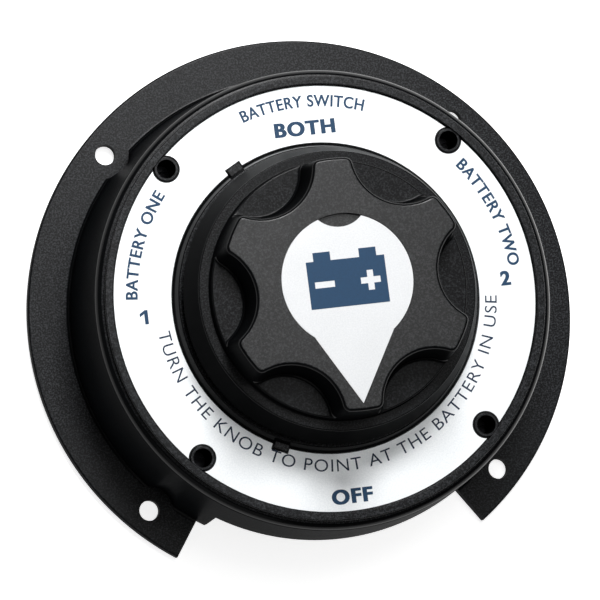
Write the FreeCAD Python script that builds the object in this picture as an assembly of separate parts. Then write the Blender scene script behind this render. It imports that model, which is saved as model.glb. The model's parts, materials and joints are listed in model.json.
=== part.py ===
import FreeCAD, Part
import math
import os

# Battery selector switch for a boat: four positions, OFF, 1, BOTH and 2.
# Millimetres. The origin is the centre of the back mounting face, +Z runs out to the knob,
# and -Y is the cable side, where the pointer stands at OFF.

# Case: flange, drum and deck
drum_radius = 59.4
drum_wall = 2.4
drum_draft = 2.3
flange_width = 10.6
flange_thickness = 3.0
flange_edge_chamfer = 0.6
flange_gap_half_angle = 34.5
foot_size = 1.2
deck_top = 34.7
deck_thickness = 3.0
shoulder_radius = 3.0
step_drop = 0.2
step_width = 0.6
lip_width = 2.0
lip_height = 1.6
lip_inset = 4.5

# Mounting holes through the flange
mounting_hole_count = 4
mounting_hole_radius = 2.55
mounting_hole_inset = 6.1
mounting_pocket_radius = 6.0
first_hole_angle = 45.0

# Raised collar round the knob and the bearing hub in the middle of the deck
collar_overhang = 1.7
collar_draft = 1.15
collar_height = 3.2
collar_wall = 3.6
hub_radius = 11.0
key_angles = [119.0, 245.5]
key_width = 3.8
key_depth = 1.3
key_height = 1.2
knob_gap = 0.5

# Dial plate
dial_thickness = 0.6
dial_clearance = 0.3

# Screws that hold the contact base, deep in the four ears
ear_radius = 3.1
ear_inset = 2.6
ear_rise = 1.0
post_radius = 4.2
post_clearance = 0.1
screw_hole_radius = 2.35
screw_head_radius = 2.1
screw_head_height = 2.2
screw_radius = 1.42
screw_clearance = 0.15
screw_seat_height = 4.0

# Contact base, gasket and terminals
base_bottom = 17.0
base_thickness = 3.0
base_clearance = 0.3
gasket_thickness = 1.0
ledge_width = 3.0
contact_thickness = 2.0
contact_inner_radius = 24.0
contact_outer_radius = 36.0
common_inner_radius = 12.0
common_outer_radius = 17.0
tongue_half_width = 7.0
contact_1_start = 95.0
contact_sweep = 105.0
stud_ring_radius = 30.0
stud_radius = 4.76
stud_clearance = 0.15
stud_bottom = 1.0
terminal_washer_radius = 9.5
terminal_washer_thickness = 1.2
base_nut_height = 5.5
lock_washer_thickness = 2.0
lock_washer_radius = 8.0
terminal_nut_height = 5.5
nut_across_flats = 14.3
nut_clearance = 0.05

# Cable exit through the drum wall
cable_exit_half_angle = 32.0
cable_exit_height = 16.0
cable_exit_corner = 5.0

# Knob
knob_radius = 36.5
knob_lip_inset = 0.5
knob_lip_height = 2.8
skirt_taper = 2.45
skirt_height = 11.6
skirt_ledge = 2.55
handle_taper = 1.0
handle_height = 12.8
scallop_count = 6
scallop_ring_offset = 4.5
scallop_radius = 12.7
scallop_floor_height = 2.7
scallop_draft = 7.0
lobe_corner_radius = 1.8
knob_top_round = 0.8
knob_wall = 2.6
knob_hub_radius = 12.0
knob_top_thickness = 3.5
core_radius = 19.0
lobe_core_radius = 2.6
lobe_core_ring_radius = 25.5

# Pointer plate in the top of the knob
label_radius = 16.0
label_centre_y = 0.9
label_shoulder_x = 9.6
label_shoulder_y = -12.0
label_tip_y = -28.7
label_thickness = 1.0
label_sink = 0.2
label_clearance = 0.15
pry_notch_radius = 7.5
pry_notch_depth = 3.1

# Spindle, shaft seal, clip and knob screw
spindle_radius = 6.0
spindle_clearance = 0.05
square_width = 8.0
square_clearance = 0.05
socket_depth = 11.4
seal_section_radius = 1.0
seal_gland_clearance = 0.05
clip_thickness = 0.8
clip_outer_radius = 7.6
clip_groove_radius = 4.2
clip_gap_width = 4.0
spindle_end_length = 1.0
knob_screw_radius = 2.4
knob_screw_length = 18.0
knob_screw_head_radius = 4.5
knob_screw_head_height = 3.2
knob_washer_radius = 5.6
knob_washer_thickness = 1.0
counterbore_radius = 6.2
knob_web_thickness = 3.6
driver_slot_width = 1.2
driver_slot_depth = 1.2

# Rotor with its detent notches
rotor_radius = 22.0
rotor_thickness = 5.0
rotor_gap = 1.2
notch_count = 4
detent_roller_radius = 3.2
detent_depth = 1.0
detent_clearance = 0.4

# Leaf springs of the detent and the posts that hold them
leaf_thickness = 0.8
leaf_height = 3.6
leaf_half_length = 25.0
leaf_post_width = 5.0
leaf_post_length = 6.0
leaf_post_y = 21.0
leaf_slot_clearance = 0.06

# Contact bridge and its two coil springs
bridge_thickness = 2.45
bridge_rest_gap = 0.05
bridge_half_width = 8.0
bridge_ring_inner = 10.0
bridge_short_arm = 20.0
drive_lug_width = 3.0
drive_lug_length = 3.1
drive_lug_clearance = 0.4
spring_radius = 2.4
spring_wire_radius = 0.4
spring_turns = 4.0
spring_y = 16.0
spring_pocket_depth = 3.5
spring_pocket_clearance = 0.4

# Places worked out from the values above
flange_radius = drum_radius + flange_width
hole_ring_radius = flange_radius - mounting_hole_inset
drum_inner_radius = drum_radius - drum_wall
drum_top_radius = drum_radius - drum_draft
chamber_radius = drum_inner_radius - ledge_width
lip_outer_radius = drum_radius - lip_inset
lip_inner_radius = lip_outer_radius - lip_width
lip_top = deck_top + lip_height
deck_bottom = deck_top - deck_thickness
collar_top = deck_top + collar_height
knob_lip_radius = knob_radius - knob_lip_inset
skirt_top_radius = knob_radius - skirt_taper
handle_foot_radius = skirt_top_radius - skirt_ledge
handle_top_radius = handle_foot_radius - handle_taper
scallop_ring_radius = handle_top_radius + scallop_ring_offset
collar_radius = knob_radius + collar_overhang
collar_top_radius = collar_radius - collar_draft
collar_inner_radius = collar_top_radius - collar_wall
dial_top = deck_top + dial_thickness
dial_radius = lip_inner_radius - dial_clearance
ear_ring_radius = lip_inner_radius - ear_inset
base_top = base_bottom + base_thickness
base_radius = drum_inner_radius - base_clearance
ledge_z = base_top + gasket_thickness
contact_top = base_top + contact_thickness
bridge_bottom = contact_top + bridge_rest_gap
bridge_top = bridge_bottom + bridge_thickness
rotor_top = deck_bottom - rotor_gap
rotor_bottom = rotor_top - rotor_thickness
knob_bottom = collar_top + knob_gap
skirt_top = knob_bottom + skirt_height
knob_top = skirt_top + handle_height
label_floor = knob_top - label_sink - label_thickness
socket_top = knob_bottom + socket_depth
knob_web_top = socket_top + knob_web_thickness
bore_radius = spindle_radius + spindle_clearance
seal_ring_radius = bore_radius + seal_section_radius
seal_z = (deck_bottom + collar_top) / 2
detent_ring_radius = rotor_radius + detent_roller_radius - detent_depth
leaf_bottom = (rotor_top + rotor_bottom - leaf_height) / 2
screw_seat_z = base_top + screw_seat_height

hole_angles = [first_hole_angle + 360.0 / mounting_hole_count * i for i in range(mounting_hole_count)]
stud_angles = {"battery_1": 150.0, "battery_2": 30.0, "common": 270.0}

V = FreeCAD.Vector
Z_AXIS = V(0, 0, 1)


def polar(radius, degrees, z=0.0):
    """The point at this radius and angle about the Z axis."""
    turn = math.radians(degrees)
    return V(radius * math.cos(turn), radius * math.sin(turn), z)


def cylinder(radius, low, high, place=None):
    """An upright cylinder between two heights, on the axis or at a place in plan."""
    centre = place or V(0, 0, 0)
    return Part.makeCylinder(radius, high - low, V(centre.x, centre.y, low), Z_AXIS)


def tube(outer, inner, low, high, place=None):
    """An upright ring between two heights."""
    return cylinder(outer, low, high, place).cut(cylinder(inner, low - 1, high + 1, place))


def block(x_low, x_high, y_low, y_high, low, high):
    """A box given by its limits."""
    return Part.makeBox(x_high - x_low, y_high - y_low, high - low, V(x_low, y_low, low))


def wedge(radius, low, high, start, sweep):
    """A slice of a disc that starts at one angle and sweeps counterclockwise."""
    slice_ = Part.makeCylinder(radius, high - low, V(0, 0, low), Z_AXIS, sweep)
    slice_.rotate(V(0, 0, 0), Z_AXIS, start)
    return slice_


def revolved(outline):
    """Turn an outline of (radius, height) points about the Z axis.

    A point with four numbers ends a round stretch: its last two are a point on the arc.
    """
    edges = []
    last = V(outline[-1][0], 0, outline[-1][1])
    for point in outline:
        end = V(point[0], 0, point[1])
        if len(point) == 4:
            edges.append(Part.Arc(last, V(point[2], 0, point[3]), end).toShape())
        else:
            edges.append(Part.makeLine(last, end))
        last = end
    face = Part.Face(Part.Wire(edges))
    return face.revolve(V(0, 0, 0), Z_AXIS, 360)


def prism(corners, low, high):
    """An upright prism on a closed outline of (x, y) corners."""
    points = [V(x, y, low) for x, y in corners]
    return Part.Face(Part.makePolygon(points + points[:1])).extrude(V(0, 0, high - low))


def hexagon(across_flats, low, high, place):
    """A hexagonal prism at a place in plan."""
    reach = across_flats / math.sqrt(3)
    corners = [polar(reach, 60 * i) + place for i in range(6)]
    return prism([(corner.x, corner.y) for corner in corners], low, high)


def square(width, low, high):
    """A square prism on the axis."""
    half = width / 2
    return block(-half, half, -half, half, low, high)


def joined(pieces):
    """One solid fused from overlapping pieces."""
    return pieces[0].multiFuse(pieces[1:]).removeSplitter()


def cut_all(body, tools):
    """The body with every tool cut out of it."""
    return body.cut(Part.makeCompound(tools))


def stud_place(name):
    return polar(stud_ring_radius, stud_angles[name])


# Case

def drum_outside():
    """The turned outside of the drum: wall, rounded shoulder, step, lip, deck, collar and hub."""
    step_radius = lip_outer_radius + step_width
    step_z = deck_top - step_drop
    centre_radius = drum_top_radius - shoulder_radius
    reach = step_radius - centre_radius
    centre_z = step_z - math.sqrt(shoulder_radius ** 2 - reach ** 2)
    middle = shoulder_radius * math.sqrt(0.5)
    return revolved([
        (0, 0),
        (drum_radius, 0),
        (drum_radius, flange_thickness + foot_size),
        (drum_top_radius, centre_z),
        (step_radius, step_z, centre_radius + middle, centre_z + middle),
        (lip_outer_radius, step_z),
        (lip_outer_radius, lip_top),
        (lip_inner_radius, lip_top),
        (lip_inner_radius, deck_top),
        (collar_radius, deck_top),
        (collar_top_radius, collar_top),
        (collar_inner_radius, collar_top),
        (collar_inner_radius, deck_top),
        (hub_radius, deck_top),
        (hub_radius, collar_top),
        (0, collar_top),
    ])


def flange():
    """The horseshoe flange with a small foot against the drum, open on the cable side."""
    foot_top = flange_thickness + foot_size
    foot_radius = drum_radius + foot_size
    bulge = foot_size * (1 - math.sqrt(0.5))
    plate = revolved([
        (0, 0),
        (flange_radius, 0),
        (flange_radius, flange_thickness - flange_edge_chamfer),
        (flange_radius - flange_edge_chamfer, flange_thickness),
        (foot_radius, flange_thickness),
        (drum_radius, foot_top, drum_radius + bulge, flange_thickness + bulge),
        (0, foot_top),
    ])
    start = 270.0 - flange_gap_half_angle
    gap = wedge(flange_radius + 5, -1, foot_top + 1, start, 2 * flange_gap_half_angle)
    return plate.cut(gap)


def case_inside():
    """The hollow of the drum: terminal space, then a ledge, then the sealed chamber."""
    return revolved([
        (0, -1),
        (drum_inner_radius, -1),
        (drum_inner_radius, ledge_z),
        (chamber_radius, ledge_z),
        (chamber_radius, deck_bottom),
        (0, deck_bottom),
    ])


def collar_keys(reach, side, top):
    """The keys on the collar, which also cut their own notches in the dial plate."""
    key = block(collar_inner_radius + 1, reach, -side, side, deck_top, top)
    return [key.rotated(V(0, 0, 0), Z_AXIS, angle) for angle in key_angles]


def leaf_posts():
    """Four slotted posts under the deck that hold the ends of the two leaf springs."""
    posts = []
    for side in (-1, 1):
        for end in (-1, 1):
            x = side * detent_ring_radius
            y = end * leaf_post_y
            half_x = leaf_post_width / 2
            half_y = leaf_post_length / 2
            posts.append(block(x - half_x, x + half_x, y - half_y, y + half_y, leaf_bottom, deck_bottom + 1))
    return posts


def leaf_slots():
    """The slots of the posts, one along each leaf spring."""
    half = leaf_thickness / 2 + leaf_slot_clearance
    top = leaf_bottom + leaf_height + leaf_slot_clearance
    slots = []
    for side in (-1, 1):
        x = side * detent_ring_radius
        slots.append(block(x - half, x + half, -leaf_half_length, leaf_half_length, leaf_bottom - 1, top))
    return slots


def cable_exit():
    """The wide way out for the cables, through the wall between the flange ends."""
    start = 270.0 - cable_exit_half_angle
    slice_ = wedge(drum_radius + 5, -1, cable_exit_height, start, 2 * cable_exit_half_angle)
    arc = slice_.cut(cylinder(drum_inner_radius - 2, -2, cable_exit_height + 1))
    top = [e for e in arc.Edges if e.BoundBox.ZMin > cable_exit_height - 0.1]
    corners = [e for e in top if isinstance(e.Curve, (Part.Line, Part.LineSegment))]
    return arc.makeFillet(cable_exit_corner, corners)


def make_case():
    pieces = [drum_outside().cut(case_inside()), flange().cut(cylinder(drum_inner_radius, -1, deck_top))]
    pieces += collar_keys(collar_radius + key_depth, key_width / 2, deck_top + key_height)
    for angle in hole_angles:
        ear = polar(ear_ring_radius, angle)
        pieces.append(cylinder(post_radius, base_top, deck_bottom + 1, ear))
        pieces.append(cylinder(ear_radius, deck_bottom, deck_top + ear_rise, ear))
    pieces += leaf_posts()
    body = joined(pieces)
    tools = leaf_slots()
    for angle in hole_angles:
        ear = polar(ear_ring_radius, angle)
        hole = polar(hole_ring_radius, angle)
        tools.append(cylinder(screw_hole_radius, screw_seat_z, lip_top + 1, ear))
        tools.append(cylinder(screw_radius + screw_clearance, base_top - 1, screw_seat_z + 1, ear))
        tools.append(cylinder(mounting_hole_radius, -1, flange_thickness + foot_size + 1, hole))
        tools.append(cylinder(mounting_pocket_radius, flange_thickness, lip_top, hole))
    tools.append(cable_exit())
    gland_half = seal_section_radius + seal_gland_clearance
    tools.append(cylinder(bore_radius, deck_bottom - 1, collar_top + 1))
    gland_radius = bore_radius + 2 * seal_section_radius + seal_gland_clearance
    tools.append(cylinder(gland_radius, seal_z - gland_half, seal_z + gland_half))
    return cut_all(body, tools)


def make_dial_plate():
    plate = tube(dial_radius, collar_radius + dial_clearance, deck_top, dial_top)
    side = key_width / 2 + dial_clearance
    tools = collar_keys(collar_radius + key_depth + dial_clearance, side, dial_top + 1)
    for angle in hole_angles:
        ear = polar(ear_ring_radius, angle)
        tools.append(cylinder(ear_radius + dial_clearance, deck_top - 1, dial_top + 1, ear))
    return cut_all(plate, tools)


# Contact base and terminals

def make_contact_base():
    plate = cylinder(base_radius, base_bottom, base_top)
    hole_radius = stud_radius + stud_clearance
    tools = [cylinder(hole_radius, base_bottom - 1, base_top + 1, stud_place(name)) for name in stud_angles]
    for angle in hole_angles:
        tools.append(cylinder(screw_radius, base_bottom - 1, base_top + 1, polar(ear_ring_radius, angle)))
    return cut_all(plate, tools)


def make_base_gasket():
    """The seal between base and ledge, let out round the screw posts."""
    ring = tube(base_radius, chamber_radius, base_top, ledge_z)
    reach = post_radius + post_clearance
    places = [polar(ear_ring_radius, angle) for angle in hole_angles]
    return cut_all(ring, [cylinder(reach, base_top - 1, ledge_z + 1, place) for place in places])


def make_case_screws():
    screws = []
    for angle in hole_angles:
        place = polar(ear_ring_radius, angle)
        shank = cylinder(screw_radius, base_bottom, screw_seat_z + 1, place)
        head = cylinder(screw_head_radius, screw_seat_z, screw_seat_z + screw_head_height, place)
        half = driver_slot_width / 2
        slot_floor = screw_seat_z + screw_head_height - driver_slot_depth
        slot = block(place.x - 5, place.x + 5, place.y - half, place.y + half, slot_floor, lip_top)
        screws.append(joined([shank, head]).cut(slot))
    return Part.makeCompound(screws)


def battery_contact(name, start):
    """A copper segment on the base, with a hole for its stud."""
    segment = wedge(contact_outer_radius, base_top, contact_top, start, contact_sweep)
    tools = [cylinder(contact_inner_radius, base_top - 1, contact_top + 1)]
    tools.append(cylinder(stud_radius, base_top - 1, contact_top + 1, stud_place(name)))
    return cut_all(segment, tools)


def make_common_contact():
    ring = cylinder(common_outer_radius, base_top, contact_top)
    half = tongue_half_width
    tongue = block(-half, half, -contact_outer_radius, 0, base_top, contact_top)
    tools = [cylinder(common_inner_radius, base_top - 1, contact_top + 1)]
    tools.append(cylinder(stud_radius, base_top - 1, contact_top + 1, stud_place("common")))
    return cut_all(joined([ring, tongue]), tools)


def terminal_stud(name):
    """A stud fixed in its contact, with a chamfered end."""
    stud = cylinder(stud_radius, stud_bottom, contact_top, stud_place(name))
    tip = [e for e in stud.Edges if e.BoundBox.ZMax < stud_bottom + 0.1]
    return stud.makeChamfer(stud_radius / 6, tip)


def at_studs(make_one):
    """One piece at every stud, as a group of separate solids."""
    return Part.makeCompound([make_one(stud_place(name)) for name in stud_angles])


def washer_bottom():
    return base_bottom - terminal_washer_thickness


def base_nut_bottom():
    return washer_bottom() - base_nut_height


def lock_washer_bottom():
    return base_nut_bottom() - lock_washer_thickness


def stud_hole(place):
    return cylinder(stud_radius + nut_clearance, 0, base_top, place)


def make_stud_washers():
    low = washer_bottom()
    outer = terminal_washer_radius
    return at_studs(lambda place: cylinder(outer, low, base_bottom, place).cut(stud_hole(place)))


def hex_nut(low, high, place):
    """A hexagonal nut with its corners turned off at both ends."""
    nut = hexagon(nut_across_flats, low, high, place)
    reach = nut_across_flats / math.sqrt(3)
    turn_off = reach - nut_across_flats / 2
    turned = revolved([
        (0, low),
        (reach - turn_off, low),
        (reach, low + turn_off / 2),
        (reach, high - turn_off / 2),
        (reach - turn_off, high),
        (0, high),
    ])
    turned.translate(V(place.x, place.y, 0))
    return nut.common(turned).cut(stud_hole(place))


def make_base_nuts():
    return at_studs(lambda place: hex_nut(base_nut_bottom(), washer_bottom(), place))


def make_lock_washers():
    def lock_washer(place):
        disc = cylinder(lock_washer_radius, lock_washer_bottom(), base_nut_bottom(), place)
        ring = disc.cut(stud_hole(place))
        split = block(place.x, place.x + lock_washer_radius + 1, place.y - 0.5, place.y + 0.5, 0, base_bottom)
        return ring.cut(split)
    return at_studs(lock_washer)


def make_terminal_nuts():
    high = lock_washer_bottom()
    return at_studs(lambda place: hex_nut(high - terminal_nut_height, high, place))


# Knob and what turns with it

def scallops():
    """Drafted finger scallops, one at each even place round the handle."""
    floor_z = skirt_top + scallop_floor_height
    over = 1.0
    lean = math.tan(math.radians(scallop_draft))
    low_radius = scallop_radius - (knob_top - floor_z) * lean
    high_radius = scallop_radius + over * lean
    height = knob_top + over - floor_z
    cone = Part.makeCone(low_radius, high_radius, height, V(scallop_ring_radius, 0, floor_z), Z_AXIS)
    return [cone.rotated(V(0, 0, 0), Z_AXIS, 360.0 / scallop_count * i) for i in range(scallop_count)]


def knob_outside():
    lip_top_z = knob_bottom + knob_lip_height
    lip_edge = knob_radius - knob_lip_radius
    body = revolved([
        (0, knob_bottom),
        (knob_lip_radius, knob_bottom),
        (knob_lip_radius, lip_top_z - lip_edge),
        (knob_radius, lip_top_z),
        (skirt_top_radius, skirt_top),
        (handle_foot_radius, skirt_top),
        (handle_top_radius, knob_top),
        (0, knob_top),
    ])
    body = cut_all(body, scallops())
    floor_z = skirt_top + scallop_floor_height
    upright = [e for e in body.Edges if e.BoundBox.ZLength > handle_height / 2]
    corners = [e for e in upright if e.BoundBox.ZMin > floor_z - 0.2]
    body = body.makeFillet(lobe_corner_radius, corners)
    rim = [e for e in body.Edges if e.BoundBox.ZMin > knob_top - 0.05]
    return body.makeFillet(knob_top_round, rim)


def knob_inside():
    """The hollow under the knob round its hub, stepped in below the handle."""
    ceiling = skirt_top - knob_wall
    hollow = revolved([
        (0, knob_bottom - 1),
        (knob_lip_radius - knob_wall, knob_bottom - 1),
        (knob_lip_radius - knob_wall, knob_bottom + knob_lip_height),
        (skirt_top_radius - knob_wall, ceiling),
        (handle_foot_radius - 1.5 * knob_wall, ceiling),
        (handle_foot_radius - 1.5 * knob_wall, skirt_top),
        (core_radius, skirt_top),
        (core_radius, knob_top - knob_top_thickness),
        (0, knob_top - knob_top_thickness),
    ])
    cores = []
    for i in range(scallop_count):
        place = polar(lobe_core_ring_radius, 360.0 / scallop_count * (i + 0.5))
        cores.append(cylinder(lobe_core_radius, skirt_top - 1, knob_top - knob_top_thickness, place))
    return joined([hollow] + cores).cut(cylinder(knob_hub_radius, knob_bottom - 2, knob_top))


def label_shape(low, high, margin):
    """The pointer outline: a round head and a tapering tail, grown by a margin."""
    head = cylinder(label_radius + margin, low, high, V(0, label_centre_y, 0))
    half_angle = math.atan2(label_shoulder_x, label_shoulder_y - label_tip_y)
    side = margin / math.cos(half_angle)
    tip = margin / math.sin(half_angle)
    tail = prism([
        (-label_shoulder_x - side, label_shoulder_y),
        (0, label_tip_y - tip),
        (label_shoulder_x + side, label_shoulder_y),
        (0, label_centre_y),
    ], low, high)
    return joined([head, tail])


def make_knob():
    body = knob_outside().cut(knob_inside())
    tools = [label_shape(label_floor, knob_top + 1, label_clearance)]
    tools.append(square(square_width + 2 * square_clearance, knob_bottom - 1, socket_top))
    tools.append(cylinder(knob_screw_radius + screw_clearance, socket_top - 1, knob_top))
    tools.append(cylinder(counterbore_radius, knob_web_top, knob_top))
    return cut_all(body, tools)


def make_pointer_plate():
    """The pointer, with a round bite in its head where a blade lifts it out."""
    plate = label_shape(label_floor, label_floor + label_thickness, 0)
    bite = V(0, label_centre_y + label_radius - pry_notch_depth + pry_notch_radius, 0)
    return plate.cut(cylinder(pry_notch_radius, label_floor - 1, knob_top + 1, bite))


def make_knob_washer():
    high = knob_web_top + knob_washer_thickness
    return tube(knob_washer_radius, knob_screw_radius + screw_clearance, knob_web_top, high)


def knob_screw_seat():
    return knob_web_top + knob_washer_thickness


def make_knob_screw():
    seat = knob_screw_seat()
    shank = cylinder(knob_screw_radius, seat - knob_screw_length, seat + 1)
    head = cylinder(knob_screw_head_radius, seat, seat + knob_screw_head_height)
    top = [e for e in head.Edges if e.BoundBox.ZMin > seat + knob_screw_head_height - 0.1]
    head = head.makeFillet(1.0, top)
    half = driver_slot_width / 2
    reach = knob_screw_head_radius / 2
    floor_z = seat + knob_screw_head_height - driver_slot_depth
    cross = [block(-reach, reach, -half, half, floor_z, knob_top)]
    cross.append(block(-half, half, -reach, reach, floor_z, knob_top))
    return cut_all(joined([shank, head]), cross)


def make_spindle():
    """A round shaft with a square at each end, tapped on top and grooved for the clip."""
    low = rotor_bottom - clip_thickness - spindle_end_length
    round_part = cylinder(spindle_radius, rotor_top, knob_bottom)
    upper = square(square_width, knob_bottom - 1, socket_top - 0.2)
    lower = square(square_width, low, rotor_top + 1)
    body = joined([round_part, upper, lower])
    groove = tube(spindle_radius, clip_groove_radius, rotor_bottom - clip_thickness, rotor_bottom)
    tapped = cylinder(knob_screw_radius, knob_screw_seat() - knob_screw_length - 1, knob_top)
    return cut_all(body, [groove, tapped])


def make_shaft_seal():
    return Part.makeTorus(seal_ring_radius, seal_section_radius - 0.01, V(0, 0, seal_z), Z_AXIS)


def make_retaining_clip():
    ring = tube(clip_outer_radius, clip_groove_radius, rotor_bottom - clip_thickness, rotor_bottom)
    half = clip_gap_width / 2
    return ring.cut(block(0, clip_outer_radius + 1, -half, half, rotor_bottom - 2, rotor_bottom + 1))


def make_rotor():
    disc = cylinder(rotor_radius, rotor_bottom, rotor_top)
    pieces = [disc]
    inner = bridge_half_width + drive_lug_clearance
    outer = inner + drive_lug_width
    far = math.sqrt(rotor_radius ** 2 - outer ** 2) - drive_lug_clearance
    near = far - drive_lug_length
    for side in (-1, 1):
        for end in (-1, 1):
            x_limits = sorted((side * inner, side * outer))
            y_limits = sorted((end * near, end * far))
            lug = block(*x_limits, *y_limits, bridge_bottom + drive_lug_clearance, rotor_bottom + 1)
            pieces.append(lug)
    tools = [square(square_width + 2 * square_clearance, rotor_bottom - 1, rotor_top + 1)]
    for i in range(notch_count):
        place = polar(detent_ring_radius, 360.0 / notch_count * i)
        notch_radius = detent_roller_radius + detent_clearance
        tools.append(cylinder(notch_radius, rotor_bottom - 1, rotor_top + 1, place))
    pocket_radius = spring_radius + spring_wire_radius + spring_pocket_clearance
    for end in (-1, 1):
        pocket_top = rotor_bottom + spring_pocket_depth
        tools.append(cylinder(pocket_radius, rotor_bottom - 1, pocket_top, V(0, end * spring_y, 0)))
    return cut_all(joined(pieces), tools)


def detent_spring(side):
    """A straight leaf with a round nose that drops into the rotor's notches."""
    x = side * detent_ring_radius
    half = leaf_thickness / 2
    top = leaf_bottom + leaf_height
    leaf = block(x - half, x + half, -leaf_half_length + 1, leaf_half_length - 1, leaf_bottom, top)
    nose = tube(detent_roller_radius, detent_roller_radius - leaf_thickness, leaf_bottom, top, V(x, 0, 0))
    away = sorted((x, x + side * (detent_roller_radius + 1)))
    back = block(*away, -detent_roller_radius - 1, detent_roller_radius + 1, leaf_bottom - 1, top + 1)
    inside = cylinder(detent_roller_radius - leaf_thickness, leaf_bottom - 1, top + 1, V(x, 0, 0))
    return joined([leaf.cut(inside), nose.cut(back)])


# Contact bridge

def make_contact_bridge():
    ring = cylinder(common_outer_radius, bridge_bottom, bridge_top)
    half = bridge_half_width
    bar = block(-half, half, -contact_outer_radius, bridge_short_arm, bridge_bottom, bridge_top)
    return joined([ring, bar]).cut(cylinder(bridge_ring_inner, bridge_bottom - 1, bridge_top + 1))


def coil_spring(place):
    """A compression spring of flat-sided wire between the bridge and the rotor's pocket."""
    low = bridge_top + spring_wire_radius + bridge_rest_gap
    high = rotor_bottom + spring_pocket_depth - spring_wire_radius - bridge_rest_gap
    pitch = (high - low) / spring_turns
    helix = Part.makeHelix(pitch, high - low, spring_radius)
    turns = [math.radians(60 * i) for i in range(7)]
    wire = [(spring_wire_radius * math.cos(turn), spring_wire_radius * math.sin(turn)) for turn in turns]
    section = Part.makePolygon([V(spring_radius + across, 0, up) for across, up in wire])
    coil = Part.Wire(helix.Edges).makePipeShell([section], True, True)
    coil.translate(V(place.x, place.y, low))
    return coil


def make_contact_springs():
    return Part.makeCompound([coil_spring(V(0, end * spring_y, 0)) for end in (-1, 1)])


parts = {
    "case": make_case(),
    "dial_plate": make_dial_plate(),
    "contact_base": make_contact_base(),
    "base_gasket": make_base_gasket(),
    "case_screws": make_case_screws(),
    "battery_1_contact": battery_contact("battery_1", contact_1_start),
    "battery_2_contact": battery_contact("battery_2", 180.0 - contact_1_start - contact_sweep),
    "common_contact": make_common_contact(),
    "battery_1_stud": terminal_stud("battery_1"),
    "battery_2_stud": terminal_stud("battery_2"),
    "common_stud": terminal_stud("common"),
    "stud_washers": make_stud_washers(),
    "base_nuts": make_base_nuts(),
    "lock_washers": make_lock_washers(),
    "terminal_nuts": make_terminal_nuts(),
    "shaft_seal": make_shaft_seal(),
    "detent_spring_left": detent_spring(-1),
    "detent_spring_right": detent_spring(1),
    "knob": make_knob(),
    "pointer_plate": make_pointer_plate(),
    "knob_screw": make_knob_screw(),
    "knob_washer": make_knob_washer(),
    "spindle": make_spindle(),
    "rotor": make_rotor(),
    "retaining_clip": make_retaining_clip(),
    "contact_bridge": make_contact_bridge(),
    "contact_springs": make_contact_springs(),
}

os.makedirs("parts", exist_ok=True)
for name, shape in parts.items():
    solids = len(shape.Solids)
    print(f"{name}: {solids} solid(s), {shape.Volume:.0f} mm3, valid {shape.isValid()}")
    shape.exportStep(f"parts/{name}.step")
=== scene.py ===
import json
import math

import bmesh
import bpy
from mathutils import Matrix, Vector


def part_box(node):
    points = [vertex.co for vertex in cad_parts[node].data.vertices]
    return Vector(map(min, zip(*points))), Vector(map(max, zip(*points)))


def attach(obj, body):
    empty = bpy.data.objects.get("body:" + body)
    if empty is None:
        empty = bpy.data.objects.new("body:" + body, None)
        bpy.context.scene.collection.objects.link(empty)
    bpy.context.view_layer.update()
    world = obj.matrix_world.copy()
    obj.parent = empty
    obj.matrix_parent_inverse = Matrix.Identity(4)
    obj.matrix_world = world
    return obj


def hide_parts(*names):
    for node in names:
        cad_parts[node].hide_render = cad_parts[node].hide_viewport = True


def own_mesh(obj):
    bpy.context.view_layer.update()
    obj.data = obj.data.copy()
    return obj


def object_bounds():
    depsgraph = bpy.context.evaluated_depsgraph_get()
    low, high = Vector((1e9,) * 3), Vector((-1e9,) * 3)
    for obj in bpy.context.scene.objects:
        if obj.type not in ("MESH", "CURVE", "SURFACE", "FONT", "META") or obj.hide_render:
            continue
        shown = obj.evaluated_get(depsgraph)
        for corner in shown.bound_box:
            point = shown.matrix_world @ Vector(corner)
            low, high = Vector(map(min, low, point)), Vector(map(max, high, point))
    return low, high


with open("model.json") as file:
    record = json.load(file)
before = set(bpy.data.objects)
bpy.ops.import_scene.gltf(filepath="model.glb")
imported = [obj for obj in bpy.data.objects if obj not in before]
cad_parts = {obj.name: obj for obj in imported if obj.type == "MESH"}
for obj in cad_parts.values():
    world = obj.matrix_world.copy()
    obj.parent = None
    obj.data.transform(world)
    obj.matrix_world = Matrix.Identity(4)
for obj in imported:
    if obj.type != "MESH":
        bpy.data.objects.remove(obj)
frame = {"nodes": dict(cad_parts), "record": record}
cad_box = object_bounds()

# Battery selector switch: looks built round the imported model. Metres, +Z out of the bulkhead,
# -Y towards the cable side, where the pointer stands at OFF.

MM = 0.001
HOUSING = "housing"
KNOB = "knob_and_rotor"

# Camera, high over the dial on a long lens
CAMERA_AIM = Vector((0.31, 3.54, 0.0)) * MM
CAMERA_DISTANCE = 961.8 * MM
CAMERA_TILT = math.radians(12.47)
CAMERA_AZIMUTH = math.radians(206.3)
CAMERA_TURN = math.radians(7.45)
CAMERA_LENS = 226.9
SENSOR_WIDTH = 36.0

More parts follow.
